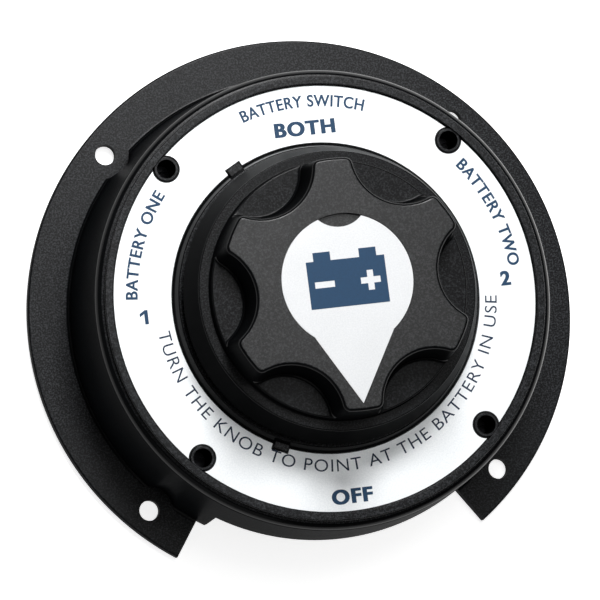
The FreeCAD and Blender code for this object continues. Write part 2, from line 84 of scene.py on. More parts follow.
# The case moulding
BORE_R = 6.05 * MM
HUB_R = 11.0 * MM
DRUM_R = 59.4 * MM
DRUM_TOP_R = 57.1 * MM
DRUM_INSIDE_R = 57.0 * MM
CHAMBER_R = 54.0 * MM
FLANGE_R = 70.0 * MM
LIP_OUT_R = 54.9 * MM
LIP_IN_R = 52.9 * MM
STEP_R = 55.5 * MM
SHOULDER_R = 3.0 * MM
COLLAR_R = 38.2 * MM
COLLAR_TOP_R = 37.05 * MM
COLLAR_IN_R = 33.45 * MM
FLANGE_Z = 3.0 * MM
FOOT = 1.2 * MM
BASE_Z = 20.0 * MM
LEDGE_Z = 21.0 * MM
DECK_LOW_Z = 31.7 * MM
STEP_Z = 34.5 * MM
DECK_Z = 34.7 * MM
LIP_Z = 36.3 * MM
COLLAR_Z = 37.9 * MM
FLANGE_GAP = math.radians(34.5)
EXIT_GAP = math.radians(32.0)
EXIT_Z = 16.0 * MM
EAR_R = 3.1 * MM
EAR_HOLE_R = 2.35 * MM
EAR_RING_R = 50.3 * MM
EAR_Z = 35.7 * MM
SCREW_SEAT_Z = 24.0 * MM
SHANK_HOLE_R = 1.57 * MM
MOUNT_HOLE_R = 2.55 * MM
MOUNT_RING_R = 63.9 * MM
POCKET_R = 6.0 * MM
KEY_HALF = 1.9 * MM
KEY_REACH = 39.5 * MM
KEY_Z = 35.9 * MM
EAR_ANGLES = [math.radians(45 + 90 * i) for i in range(4)]
KEY_ANGLES = [math.radians(119), math.radians(245.5)]

# The knob moulding
KNOB_Z = 38.4 * MM
KNOB_LIP_R = 36.0 * MM
KNOB_R = 36.5 * MM
KNOB_EDGE_Z = 41.2 * MM
SKIRT_TOP_R = 34.05 * MM
SKIRT_Z = 50.0 * MM
HANDLE_FOOT_R = 31.5 * MM
HANDLE_TOP_R = 30.5 * MM
HANDLE_Z = 62.8 * MM
POCKET_FLOOR_Z = 52.7 * MM
SCALLOP_RING_R = 35.0 * MM
SCALLOP_TOP_R = 12.7 * MM
SCALLOP_LEAN = math.tan(math.radians(7))
SCALLOPS = 6
LOBE_CORNER = 1.8 * MM
TOP_ROUND = 0.8 * MM
FLOOR_ROUND = 0.8 * MM
LABEL_R = 16.0 * MM
LABEL_Y = 0.9 * MM
LABEL_SHOULDER = (9.6 * MM, -12.0 * MM)
LABEL_TIP_Y = -28.7 * MM
LABEL_GAP = 0.15 * MM
LABEL_FLOOR_Z = 61.6 * MM

# The hollow inside the knob
KNOB_BORE_R = 12.0 * MM
KNOB_BORE_Z = 59.3 * MM
KNOB_CORE_R = 19.0 * MM
HANDLE_INSIDE_R = 27.6 * MM
SKIRT_INSIDE_Z = 47.4 * MM
SKIRT_INSIDE_R = 31.45 * MM
KNOB_MOUTH_R = 33.4 * MM

# Legend on the dial: radii, cap heights, places and stroke settings
TITLE_RADIUS = 47.5 * MM
SIDE_RADIUS = 46.8 * MM
GUIDE_RADIUS = 42.8 * MM
THIN_CAP = 2.9 * MM
GUIDE_CAP = 3.0 * MM
BOLD_CAP = 3.5 * MM
BOTH_Y = 42.3 * MM
OFF_Y = -48.9 * MM
NUMBER_X = 45.4 * MM
INK_THICKNESS = 0.03 * MM
THIN_WEIGHT = 0.018
BOLD_WEIGHT = 0.03
THIN_SPREAD = 0.05 * MM
BOLD_SPREAD = 0.14 * MM
NUMBER_SPREAD = 0.1 * MM

# Shading of the mouldings: smooth up to this angle, and how level a face is by its normal's Z
SMOOTH_ANGLE = 34
SPRING_SMOOTH_ANGLE = 70
FLAT_LEVEL = 0.97
UPRIGHT_LEVEL = 0.35
WELD = 0.002 * MM
FINE_WELD = 0.001 * MM

# Stage: each lamp's name, place across, along and above, size and power
LAMPS = (
    ("key_lamp", 0.0, 0.44, 0.62, 0.24, 7.0),
    ("sheen_lamp", 0.05, 0.09, 0.5, 0.1, 0.25),
    ("fill_lamp", 0.2, 0.1, 1.2, 0.7, 1.6),
    ("front_lamp", -0.2, -0.42, 0.3, 0.35, 0.15),
)
FLOOR_SIZE = 6
FLOOR_DROP = 0.3 * MM
FLOOR_GLOW = 0.8
WORLD_GLOW = 0.04


# Mesh helpers

def deselect_all():
    if bpy.context.object and bpy.context.object.mode != "OBJECT":
        bpy.ops.object.mode_set(mode="OBJECT")
    bpy.ops.object.select_all(action="DESELECT")


def select_only(piece):
    deselect_all()
    piece.select_set(True)
    bpy.context.view_layer.objects.active = piece


def apply_modifier(piece, kind, **settings):
    """Add a modifier of this kind with these settings and apply it."""
    select_only(piece)
    modifier = piece.modifiers.new(kind.lower(), kind)
    for key, value in settings.items():
        setattr(modifier, key, value)
    bpy.ops.object.modifier_apply(modifier=modifier.name)


def smooth_by_angle(piece, degrees):
    select_only(piece)
    bpy.ops.object.shade_smooth_by_angle(angle=math.radians(degrees))


def put_material(piece, material):
    piece.data.materials.clear()
    piece.data.materials.append(material)


def polar(radius, angle, z=0.0):
    return Vector((radius * math.cos(angle), radius * math.sin(angle), z))


def around(point):
    return math.atan2(point[1], point[0])


def raise_ring(points):
    """Extrude the selected rim and put its corners on the given points, matched by angle."""
    bpy.ops.mesh.extrude_region_move()
    data = bpy.context.object.data
    mesh = bmesh.from_edit_mesh(data)
    rim = sorted((v for v in mesh.verts if v.select), key=lambda v: around(v.co))
    for corner, point in zip(rim, sorted(points, key=around)):
        corner.co = point
    bmesh.update_edit_mesh(data)


def loft(name, rings, closed):
    """A solid through a stack of rings: capped at both ends, or closed on itself as a ring."""
    deselect_all()
    bpy.ops.mesh.primitive_circle_add(
        vertices=len(rings[0]), radius=rings[0][0].xy.length, fill_type="NOTHING")
    piece = bpy.context.object
    piece.name = name
    corners = sorted(piece.data.vertices, key=lambda v: around(v.co))
    for corner, point in zip(corners, sorted(rings[0], key=around)):
        corner.co = point
    bpy.ops.object.mode_set(mode="EDIT")
    bpy.ops.mesh.select_mode(type="VERT")
    bpy.ops.mesh.select_all(action="SELECT")
    for ring in rings[1:]:
        raise_ring(ring)
    if closed:
        raise_ring(rings[0])
    else:
        bpy.ops.mesh.edge_face_add()
        first = {tuple(round(value, 7) for value in point) for point in rings[0]}
        data = bmesh.from_edit_mesh(piece.data)
        for corner in data.verts:
            corner.select = tuple(round(value, 7) for value in corner.co) in first
        data.select_flush(True)
        bmesh.update_edit_mesh(piece.data)
        bpy.ops.mesh.edge_face_add()
    bpy.ops.mesh.select_all(action="SELECT")
    bpy.ops.mesh.remove_doubles(threshold=WELD)
    bpy.ops.mesh.normals_make_consistent(inside=False)
    bpy.ops.object.mode_set(mode="OBJECT")
    return piece


def rounded(outline, steps=4):
    """Replace each (radius, height, round) corner of a closed outline by a small arc."""
    points = []
    count = len(outline)
    for i, (r, z, size) in enumerate(outline):
        corner = Vector((r, z))
        if not size:
            points.append(corner)
            continue
        before = (Vector(outline[i - 1][:2]) - corner).normalized()
        after = (Vector(outline[(i + 1) % count][:2]) - corner).normalized()
        half = before.angle(after) / 2
        centre = corner + (before + after).normalized() * size / math.sin(half)
        start = corner + before * size / math.tan(half) - centre
        end = corner + after * size / math.tan(half) - centre
        sweep = start.angle_signed(end)
        for step in range(steps + 1):
            arm = start.copy()
            arm.rotate(Matrix.Rotation(-sweep * step / steps, 2))
            points.append(centre + arm)
    return points


def turned(name, outline, sides=240):
    """A lathe piece about the Z axis from (radius, height) points."""
    angles = [2 * math.pi * (i + 0.5) / sides for i in range(sides)]
    rings = [[polar(r, angle, z) for angle in angles] for r, z in outline]
    return loft(name, rings, closed=True)


def peg(radius, low, high, place, sides=48, edge=0.0):
    """An upright round peg with a rounded top edge."""
    deselect_all()
    middle = (place.x, place.y, (low + high) / 2)
    bpy.ops.mesh.primitive_cylinder_add(
        vertices=sides, radius=radius, depth=high - low, location=middle)
    piece = bpy.context.object
    bpy.ops.object.transform_apply(location=True, rotation=True, scale=True)
    if edge:
        round_top(piece, high, edge)
    return piece


def brick(low, high, turn=0.0, edge=0.0):
    """A box between two corners, turned about the Z axis, with a rounded top edge."""
    deselect_all()
    middle = [(a + b) / 2 for a, b in zip(low, high)]
    bpy.ops.mesh.primitive_cube_add(size=1, location=middle)
    piece = bpy.context.object
    piece.scale = [b - a for a, b in zip(low, high)]
    bpy.ops.object.transform_apply(location=True, rotation=True, scale=True)
    if edge:
        round_top(piece, high[2], edge)
    piece.rotation_euler.z = turn
    bpy.ops.object.transform_apply(location=True, rotation=True, scale=True)
    return piece


def round_top(piece, top, size):
    """Bevel the edges that lie at the top height."""
    select_only(piece)
    bpy.ops.object.mode_set(mode="EDIT")
    bpy.ops.mesh.select_all(action="DESELECT")
    mesh = bmesh.from_edit_mesh(piece.data)
    for edge in mesh.edges:
        edge.select = all(abs(v.co.z - top) < FINE_WELD for v in edge.verts)
    bmesh.update_edit_mesh(piece.data)
    bpy.ops.mesh.bevel(offset=size, segments=3, affect="EDGES")
    bpy.ops.object.mode_set(mode="OBJECT")


def combine(piece, others, operation):
    """Add the other pieces to this one or cut them out of it, and delete them."""
    deselect_all()
    for other in others:
        other.select_set(True)
    bpy.context.view_layer.objects.active = others[0]
    if len(others) > 1:
        bpy.ops.object.join()
    tool = bpy.context.view_layer.objects.active
    apply_modifier(piece, "BOOLEAN", operation=operation, solver="MANIFOLD", object=tool)
    bpy.data.objects.remove(tool)


def finish_moulding(piece, body, slot_name, finishes, painted_shade_below, *nodes):
    """Finishes: rounded edges, upright walls, higher flats and, last, the flats below the given
    height: a darker copy of the grain that paints the shade falling in the low pockets.
    """
    smooth_by_angle(piece, SMOOTH_ANGLE)
    apply_modifier(piece, "WEIGHTED_NORMAL", keep_sharp=True, weight=90)
    put_material(piece, finishes[0])
    for material in finishes[1:]:
        piece.data.materials.append(material)
    for face in piece.data.polygons:
        on_collar = DECK_Z < face.center.z < KNOB_EDGE_Z
        upright = abs(face.normal.z) < UPRIGHT_LEVEL and not on_collar
        # Flats below the given height take the last finish, painted shade for the low pockets.
        flat_finish = 2 if face.center.z > painted_shade_below else len(finishes) - 1
        face.material_index = flat_finish if face.normal.z > FLAT_LEVEL else int(upright)
    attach(piece, body)
    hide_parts(*nodes)


# The case

def arc(centre, radius, start, end, steps):
    """Points of an arc in an outline, by angles in degrees."""
    turns = [math.radians(start + (end - start) * i / steps) for i in range(steps + 1)]
    return [(centre[0] + radius * math.cos(t), centre[1] + radius * math.sin(t), 0) for t in turns]


def drum():
    """Wall, rounded shoulder, lip, deck, collar and bearing hub, hollow behind."""
    centre_r = DRUM_TOP_R - SHOULDER_R
    lean = math.acos((STEP_R - centre_r) / SHOULDER_R)
    centre_z = STEP_Z - SHOULDER_R * math.sin(lean)
    outline = [
        (BORE_R, COLLAR_Z, 0.2 * MM),
        (BORE_R, DECK_LOW_Z, 0),
        (CHAMBER_R, DECK_LOW_Z, 1.0 * MM),
        (CHAMBER_R, LEDGE_Z, 0),
        (DRUM_INSIDE_R, LEDGE_Z, 0),
        (DRUM_INSIDE_R, 0, 0.2 * MM),
        (DRUM_R, 0, 0.2 * MM),
        (DRUM_R, FLANGE_Z + FOOT, 0),
    ]
    outline += arc((centre_r, centre_z), SHOULDER_R, 0, math.degrees(lean), 9)
    outline += [
        (LIP_OUT_R, STEP_Z, 0),
        (LIP_OUT_R, LIP_Z, 0.3 * MM),
        (LIP_IN_R, LIP_Z, 0.2 * MM),
        (LIP_IN_R, DECK_Z, 0),
        (COLLAR_R, DECK_Z, 0),
        (COLLAR_TOP_R, COLLAR_Z, 0.4 * MM),
        (COLLAR_IN_R, COLLAR_Z, 0.2 * MM),
        (COLLAR_IN_R, DECK_Z, 0),
        (HUB_R, DECK_Z, 0),
        (HUB_R, COLLAR_Z, 0.2 * MM),
    ]
    return turned("case_moulding", rounded(outline))


def wedge_tool(half_angle, inner, outer, low, high):
    """A block that covers the gap on the cable side, between two radial faces."""
    middle = -math.pi / 2
    steps = 16
    turns = [middle - half_angle + 2 * half_angle * i / steps for i in range(steps + 1)]
    corners = [polar(inner, t) for t in turns] + [polar(outer, t) for t in reversed(turns)]
    return prism("gap_tool", [(c.x, c.y) for c in corners], low, high)


def prism(name, corners, low, high):
    """An upright prism on a flat outline of (x, y) corners."""
    deselect_all()
    bpy.ops.mesh.primitive_circle_add(
        vertices=len(corners), radius=1, fill_type="NGON", location=(0, 0, 0))
    piece = bpy.context.object
    piece.name = name
    for corner, (x, y) in zip(piece.data.vertices, corners):
        corner.co = (x, y, low)
    bpy.ops.object.mode_set(mode="EDIT")
    bpy.ops.mesh.select_all(action="SELECT")
    bpy.ops.mesh.extrude_region_move(TRANSFORM_OT_translate={"value": (0, 0, high - low)})
    bpy.ops.mesh.select_all(action="SELECT")
    bpy.ops.mesh.normals_make_consistent(inside=False)
    bpy.ops.object.mode_set(mode="OBJECT")
    return piece


def horseshoe():
    """The mounting flange with its small foot, open on the cable side."""
    inner = (DRUM_INSIDE_R + DRUM_R) / 2
    outline = [(inner, 0, 0), (FLANGE_R, 0, 0.2 * MM), (FLANGE_R, FLANGE_Z, 0.6 * MM)]
    outline += arc((DRUM_R + FOOT, FLANGE_Z + FOOT), FOOT, 270, 180, 5)
    outline.append((inner, FLANGE_Z + FOOT, 0))
    ring = turned("flange", rounded(outline))
    spare = 5 * MM
    gap = wedge_tool(FLANGE_GAP, DRUM_INSIDE_R - spare, FLANGE_R + spare, -MM, 10 * MM)
    combine(ring, [gap], "DIFFERENCE")
    return ring


def add_case(*finishes):
    case = drum()
    ears = [polar(EAR_RING_R, t) for t in EAR_ANGLES]
    mounts = [polar(MOUNT_RING_R, t) for t in EAR_ANGLES]
    added = [horseshoe()]
    added += [peg(EAR_R, BASE_Z, EAR_Z, place, edge=0.25 * MM) for place in ears]
    key_low = (COLLAR_TOP_R - 2 * MM, -KEY_HALF, DECK_Z - MM)
    added += [brick(key_low, (KEY_REACH, KEY_HALF, KEY_Z), t, edge=0.2 * MM) for t in KEY_ANGLES]
    combine(case, added, "UNION")
    cuts = [peg(EAR_HOLE_R, SCREW_SEAT_Z, LIP_Z + MM, place) for place in ears]
    cuts += [peg(MOUNT_HOLE_R, -MM, 2 * FLANGE_Z, place) for place in mounts]
    combine(case, cuts, "DIFFERENCE")
    cuts = [peg(SHANK_HOLE_R, BASE_Z - MM, SCREW_SEAT_Z + MM, place) for place in ears]
    pocket_floor_z = FLANGE_Z + 0.01 * MM
    cuts += [peg(POCKET_R, pocket_floor_z, LIP_Z, place, sides=64) for place in mounts]
    cuts.append(wedge_tool(EXIT_GAP, DRUM_INSIDE_R - 2 * MM, DRUM_R + 2 * MM, -MM, EXIT_Z))
    combine(case, cuts, "DIFFERENCE")
    finish_moulding(case, HOUSING, "black_plastic", finishes, 0, "case")


# The knob

def lobe_places(outer, scallop, corner):
    """Points of the lobed outline: scallop arcs, rounded lobe corners and lobe tips.

    Each point comes with its share of the pocket: 1 in a scallop, 0 on a lobe.
    """
    reach = outer - corner
    across = scallop + corner
    cosine = (reach ** 2 + SCALLOP_RING_R ** 2 - across ** 2) / (2 * SCALLOP_RING_R * reach)
    turn = math.acos(cosine)
    hub = polar(reach, turn)
    towards = Vector((SCALLOP_RING_R, 0, 0)) - hub
    bend = math.pi - around(-towards)
    start = around(towards)
    half = math.pi / SCALLOPS
    scallop_steps, corner_steps, tip_steps = 8, 5, 4
    places = []
    for i in range(scallop_steps):
        angle = math.pi - bend * (i + 0.5) / scallop_steps
        places.append((Vector((SCALLOP_RING_R, 0, 0)) + polar(scallop, angle), 1.0))
    for i in range(corner_steps + 1):
        bearing = start + (turn - start) * i / corner_steps
        places.append((hub + polar(corner, bearing), 1.0 - i / corner_steps))
    for i in range(tip_steps):
        places.append((polar(outer, turn + (half - turn) * (i + 0.5) / tip_steps), 0.0))
    whole = []
    for k in range(SCALLOPS):
        spin = Matrix.Rotation(2 * half * k, 3, "Z")
        for point, share in places:
            whole.append((spin @ point, share))
            whole.append((spin @ Vector((point.x, -point.y, 0)), share))
    return whole


def quarter_turn(steps):
    """Angles from 0 to a right angle, for a rounded edge."""
    return [math.radians(90 / steps * i) for i in range(steps + 1)]


def add_knob(*finishes):
    def handle_r(z):
        return HANDLE_FOOT_R + (HANDLE_TOP_R - HANDLE_FOOT_R) * (z - SKIRT_Z) / (HANDLE_Z - SKIRT_Z)

    def scallop_r(z):
        return SCALLOP_TOP_R - (HANDLE_Z - z) * SCALLOP_LEAN

    def lobed(z, inset=0.0, outset=0.0):
        scallop = scallop_r(z) + inset - outset
        places = lobe_places(handle_r(z) - inset, scallop, LOBE_CORNER - inset)
        return [Vector((point.x, point.y, z)) for point, share in places]

    floor_scallop = scallop_r(POCKET_FLOOR_Z) - FLOOR_ROUND
    floor_places = lobe_places(handle_r(POCKET_FLOOR_Z), floor_scallop, LOBE_CORNER)
    bearings = [(around(point), share) for point, share in floor_places]

    def circle(r, z):
        return [polar(r, angle, z) for angle, share in bearings]

    def pocket_lip(inset, drop):
        """The rim below the pockets: rounded where a pocket is, straight up the lobes."""
        ring = []
        for angle, share in bearings:
            z = POCKET_FLOOR_Z - drop * share
            ring.append(polar(handle_r(z) - inset * share, angle, z))
        return ring

    inside = [
        (KNOB_BORE_R, KNOB_Z),
        (KNOB_BORE_R, KNOB_BORE_Z),
        (KNOB_CORE_R, KNOB_BORE_Z),
        (KNOB_CORE_R, SKIRT_Z),
        (HANDLE_INSIDE_R, SKIRT_Z),
        (HANDLE_INSIDE_R, SKIRT_INSIDE_Z),
        (SKIRT_INSIDE_R, SKIRT_INSIDE_Z),
        (KNOB_MOUTH_R, KNOB_EDGE_Z),
    ]
    outside = rounded([
        (KNOB_MOUTH_R, KNOB_Z, 0),
        (KNOB_LIP_R, KNOB_Z, 0.4 * MM),
        (KNOB_LIP_R, KNOB_EDGE_Z - 0.5 * MM, 0.1 * MM),
        (KNOB_R, KNOB_EDGE_Z, 0.3 * MM),
        (SKIRT_TOP_R, SKIRT_Z, 0.4 * MM),
        (HANDLE_FOOT_R, SKIRT_Z, 0.3 * MM),
        (handle_r(POCKET_FLOOR_Z), POCKET_FLOOR_Z, 0),
    ])
    rings = [circle(r, z) for r, z in inside]
    rings += [circle(r, z) for r, z in outside[:-1]]
    lip = 0.35 * MM
    for turn in quarter_turn(3):
        rings.append(pocket_lip(lip * (1 - math.cos(turn)), lip * (1 - math.sin(turn))))
    for turn in quarter_turn(4):
        height = FLOOR_ROUND * (1 - math.cos(turn))
        rings.append(lobed(POCKET_FLOOR_Z + height, outset=FLOOR_ROUND * (1 - math.sin(turn))))
    for turn in quarter_turn(5):
        z = HANDLE_Z - TOP_ROUND + TOP_ROUND * math.sin(turn)
        rings.append(lobed(z, inset=TOP_ROUND * (1 - math.cos(turn))))
    knob = loft("knob_moulding", rings, closed=False)
    combine(knob, [pointer_tool()], "DIFFERENCE")
    # Flats up to just above the pocket floors take the darker grain, painted shade in the pockets.
    finish_moulding(knob, KNOB, "knob_plastic", finishes, POCKET_FLOOR_Z + MM, "knob")


def pointer_outline(gap):
    """The outline of the pointer: most of a circle, then straight sides to a tip."""
    side_x, side_y = LABEL_SHOULDER
    start = math.atan2(side_y - LABEL_Y, side_x)
    end = math.pi - start
    steps = 64
    turns = [start + (end - start) * i / steps for i in range(steps + 1)]
    radius = LABEL_R + gap
    outline = [(radius * math.cos(t), LABEL_Y + radius * math.sin(t)) for t in turns]
    outline.append((0, LABEL_TIP_Y - 2 * gap))
    return outline


def pointer_tool():
    return prism("pointer_tool", pointer_outline(LABEL_GAP), LABEL_FLOOR_Z, HANDLE_Z + MM)


# Material helpers

def new_material(name):
    material = bpy.data.materials.new(name)
    material.use_nodes = True
    return material, material.node_tree.nodes["Principled BSDF"]


def add_node(material, kind, **sockets):
    node = material.node_tree.nodes.new(kind)
    for key, value in sockets.items():
        node.inputs[key.replace("_", " ")].default_value = value
    return node


def join(material, output, socket):
    material.node_tree.links.new(output, socket)


def noise(material, size, detail=2.0, roughness=0.5, stretch=None):
    """Noise with lumps of about this size, stretched along an axis if asked."""
    place = add_node(material, "ShaderNodeTexCoord").outputs["Object"]
    if stretch:
        mapping = add_node(material, "ShaderNodeMapping")
        mapping.inputs["Scale"].default_value = stretch
        join(material, place, mapping.inputs["Vector"])
        place = mapping.outputs["Vector"]
    texture = add_node(
        material, "ShaderNodeTexNoise", Scale=1.0 / size, Detail=detail, Roughness=roughness)
    join(material, place, texture.inputs["Vector"])
    return texture.outputs["Fac"]


def between(material, value, low, high, low_out, high_out):
    """Map a range of a value onto another range, without leaving it."""
    step = add_node(
        material, "ShaderNodeMapRange",
        From_Min=low, From_Max=high, To_Min=low_out, To_Max=high_out)
    join(material, value, step.inputs["Value"])
    return step.outputs["Result"]


def two_colours(material, value, dark, light):
    mix = material.node_tree.nodes.new("ShaderNodeMix")
    mix.data_type = "RGBA"
    mix.inputs[6].default_value = (*dark, 1)
    mix.inputs[7].default_value = (*light, 1)
    join(material, value, mix.inputs[0])
    return mix.outputs[2]


def colour_by(material, shader, value, dark, light):
    """Let a value choose the base colour between two."""
    join(material, two_colours(material, value, dark, light), shader.inputs["Base Color"])


def rough_by(material, shader, value, low, high, low_rough, high_rough):
    """Let a range of a value choose the roughness between two."""
    rough = between(material, value, low, high, low_rough, high_rough)
    join(material, rough, shader.inputs["Roughness"])


def bump(material, shader, layers):
    """Chain bump layers of (height, strength, depth) into the shader's normal."""
    last = None
    for height, strength, depth in layers:
        layer = add_node(material, "ShaderNodeBump", Strength=strength, Distance=depth)
        join(material, height, layer.inputs["Height"])
        if last:
            join(material, last, layer.inputs["Normal"])
        last = layer.outputs["Normal"]
    join(material, last, shader.inputs["Normal"])


def grained_plastic(name, dark, light, low_rough, high_rough, grain_size, grain_depth, gloss=0.5):
    """Moulded plastic with the fine pitted grain of a spark-eroded tool; the light specks in its
    colour are painted glints off the grain.
    """
    material, shader = new_material(name)
    shader.inputs["IOR"].default_value = 1.5
    shader.inputs["Specular IOR Level"].default_value = gloss
    grain = noise(material, grain_size, 3.0, 0.6)
    flow = noise(material, 18 * MM, 3.0)
    # Light specks picked out by the grain noise: painted glints and sheen off the pits.
    grain_glints = between(material, grain, 0.46, 0.66, 0, 1)
    colour_by(material, shader, grain_glints, dark, light)
    rough_by(material, shader, flow, 0.35, 0.65, low_rough, high_rough)
    bump(material, shader, [(flow, 0.05, 0.1 * MM), (grain, 0.8, grain_depth)])
    return material


def polished_plastic(name, dark, light, low_rough, high_rough, gloss):
    """Moulded plastic from a polished wall: deep black, faint flow marks, fine wiping scratches."""
    material, shader = new_material(name)
    shader.inputs["Specular IOR Level"].default_value = gloss
    flow = noise(material, 9 * MM, 3.0)
    scratches = noise(material, 0.6 * MM, 3.0, 0.6, (1, 1, 5))
    colour_by(material, shader, flow, dark, light)
    rough_by(material, shader, scratches, 0.35, 0.65, low_rough, high_rough)
    bump(material, shader, [(flow, 0.04, 0.1 * MM), (scratches, 0.1, 0.01 * MM)])
    return material


def satin_metal(name, dark, light, rough, metallic):
    """Satin sheet with a fine blasted grain and soft patches."""
    material, shader = new_material(name)
    shader.inputs["Metallic"].default_value = metallic
    grain = noise(material, 0.35 * MM, 3.0, 0.6)
    patches = noise(material, 9 * MM, 2.0)
    tone = between(material, grain, 0.3, 0.7, 0, 1)
    colour_by(material, shader, tone, dark, light)
    rough_by(material, shader, patches, 0.3, 0.7, rough - 0.06, rough + 0.06)
    bump(material, shader, [(grain, 0.25, 0.01 * MM)])
    return material


def printed_ink(name, dark, light):
    """Screen-printed ink, slightly uneven."""
    material, shader = new_material(name)
    shader.inputs["Specular IOR Level"].default_value = 0.2
    patches = noise(material, 0.5 * MM, 3.0)
    colour_by(material, shader, patches, dark, light)
    rough_by(material, shader, patches, 0.3, 0.7, 0.4, 0.55)
    bump(material, shader, [(patches, 0.2, 0.01 * MM)])
    return material


def turned_metal(name, dark, light, rough):
    """Machined or rolled metal with tool marks and light tarnish."""
    material, shader = new_material(name)
    shader.inputs["Metallic"].default_value = 1.0
    marks = noise(material, 0.6 * MM, 3.0, 0.6, (1, 1, 6))
    tarnish = noise(material, 4 * MM, 4.0)
    colour_by(material, shader, tarnish, dark, light)
    rough_by(material, shader, tarnish, 0.3, 0.7, rough - 0.08, rough + 0.1)
    bump(material, shader, [(marks, 0.3, 0.02 * MM)])
    return material


def soft_rubber(name):
    material, shader = new_material(name)
    pores = noise(material, 0.4 * MM, 2.0)
    colour_by(material, shader, pores, (0.01, 0.01, 0.01), (0.03, 0.03, 0.03))
    rough_by(material, shader, pores, 0.3, 0.7, 0.6, 0.8)
    bump(material, shader, [(pores, 0.5, 0.05 * MM)])
    return material


# Lettering

def flat_words(name, words, cap_height, weight, spacing):
    """A line of capitals as a thin mesh, centred in plan, with the given cap height."""
    deselect_all()
    bpy.ops.object.text_add(location=(0, 0, 0))
    piece = bpy.context.object
    piece.name = name
    piece.data.body = words
    piece.data.size = 1.0
    piece.data.offset = weight
    piece.data.space_character = spacing
    piece.data.extrude = 0.01
    bpy.ops.object.convert(target="MESH")
    piece = bpy.context.object
    tops = max(v.co.y for v in piece.data.vertices)
    left = min(v.co.x for v in piece.data.vertices)
    right = max(v.co.x for v in piece.data.vertices)
    scale = cap_height / tops
    for v in piece.data.vertices:
        height = INK_THICKNESS if v.co.z > 0 else 0.0
        v.co = Vector(((v.co.x - (left + right) / 2) * scale, v.co.y * scale, height))
    return piece


def widen_strokes(piece, spread):
    """Print the words again a little to each side, each layer a hair higher, for bold strokes."""
    select_only(piece)
    bpy.ops.object.mode_set(mode="EDIT")
    for i, shift in enumerate((-spread, spread)):
        bpy.ops.mesh.select_all(action="DESELECT")
        mesh = bmesh.from_edit_mesh(piece.data)
        first = sorted(mesh.faces, key=lambda f: f.index)[:len(mesh.faces) // (i + 1)]
        for face in first:
            face.select = True
        bmesh.update_edit_mesh(piece.data)
        bpy.ops.mesh.duplicate()
        bpy.ops.transform.translate(value=(shift, 0, (i + 1) * INK_THICKNESS / 12))
    bpy.ops.object.mode_set(mode="OBJECT")


def straight_words(name, words, cap_height, centre, base_z, spread, spacing=1.05, stretch=1.0):
    """Bold words that read upright, centred on a point of the dial."""
    piece = flat_words(name, words, cap_height, BOLD_WEIGHT, spacing)
    widen_strokes(piece, spread)
    for v in piece.data.vertices:
        v.co += Vector((v.co.x * (stretch - 1) + centre[0], centre[1] - cap_height / 2, base_z))
    return piece


def arc_words(name, words, cap_height, radius, sweep, base_z, weight, inward=False, spread=0.0):
    """Words bent round the axis from one angle to another, tops outwards or inwards."""
    start, end = sweep
    piece = flat_words(name, words, cap_height, weight, 1.1)
    if spread:
        widen_strokes(piece, spread)
    wide = max(v.co.x for v in piece.data.vertices) * 2
    middle = math.radians((start + end) / 2)
    per_length = math.radians(end - start) / wide
    for v in piece.data.vertices:
        angle = middle + v.co.x * per_length
        reach = radius - v.co.y if inward else radius + v.co.y
        v.co = Vector((reach * math.cos(angle), reach * math.sin(angle), base_z + v.co.z))
    return piece


def finish_print(piece, body, material):
    select_only(piece)
    bpy.ops.object.mode_set(mode="EDIT")
    bpy.ops.mesh.select_all(action="SELECT")
    bpy.ops.mesh.remove_doubles(threshold=FINE_WELD)
    bpy.ops.mesh.normals_make_consistent(inside=False)
    bpy.ops.object.mode_set(mode="OBJECT")
    put_material(piece, material)
    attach(piece, body)


def number_one(name, height, centre, base_z):
    """A figure one with a flag, which the built-in font draws as a bare stroke."""
    corners = [
        (0.0, 0.0), (0.26, 0.0), (0.26, 1.0), (0.04, 1.0),
        (-0.32, 0.76), (-0.32, 0.54), (0.0, 0.74),
    ]
    places = [(centre[0] + x * height, centre[1] + (y - 0.5) * height) for x, y in corners]
    return prism(name, places, base_z, base_z + INK_THICKNESS)


def add_dial_legend(blue, navy):
    dial_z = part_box("dial_plate")[1][2]
    words = []
    for name, text, y in (("legend_both", "BOTH", BOTH_Y), ("legend_off", "OFF", OFF_Y)):
        words.append(straight_words(name, text, BOLD_CAP, (0, y), dial_z, BOLD_SPREAD, 1.16, 1.08))
    words.append(number_one("legend_1", BOLD_CAP, (-NUMBER_X, 0), dial_z))
    words.append(straight_words(
        "legend_2", "2", BOLD_CAP, (NUMBER_X, 0), dial_z, NUMBER_SPREAD))
    for name, text, radius, sweep in (
        ("legend_title", "BATTERY SWITCH", TITLE_RADIUS, (108.5, 71.5)),
        ("legend_battery_one", "BATTERY ONE", SIDE_RADIUS, (174.5, 141.5)),
        ("legend_battery_two", "BATTERY TWO", SIDE_RADIUS, (38.5, 3.5)),
    ):
        words.append(arc_words(
            name, text, THIN_CAP, radius, sweep, dial_z, THIN_WEIGHT, spread=THIN_SPREAD))
    for piece in words:
        finish_print(piece, HOUSING, blue)
    guide = arc_words(
        "legend_guide", "TURN THE KNOB TO POINT AT THE BATTERY IN USE", GUIDE_CAP, GUIDE_RADIUS,
        (185.5, 354.5), dial_z, -0.002, inward=True)
    finish_print(guide, HOUSING, navy)


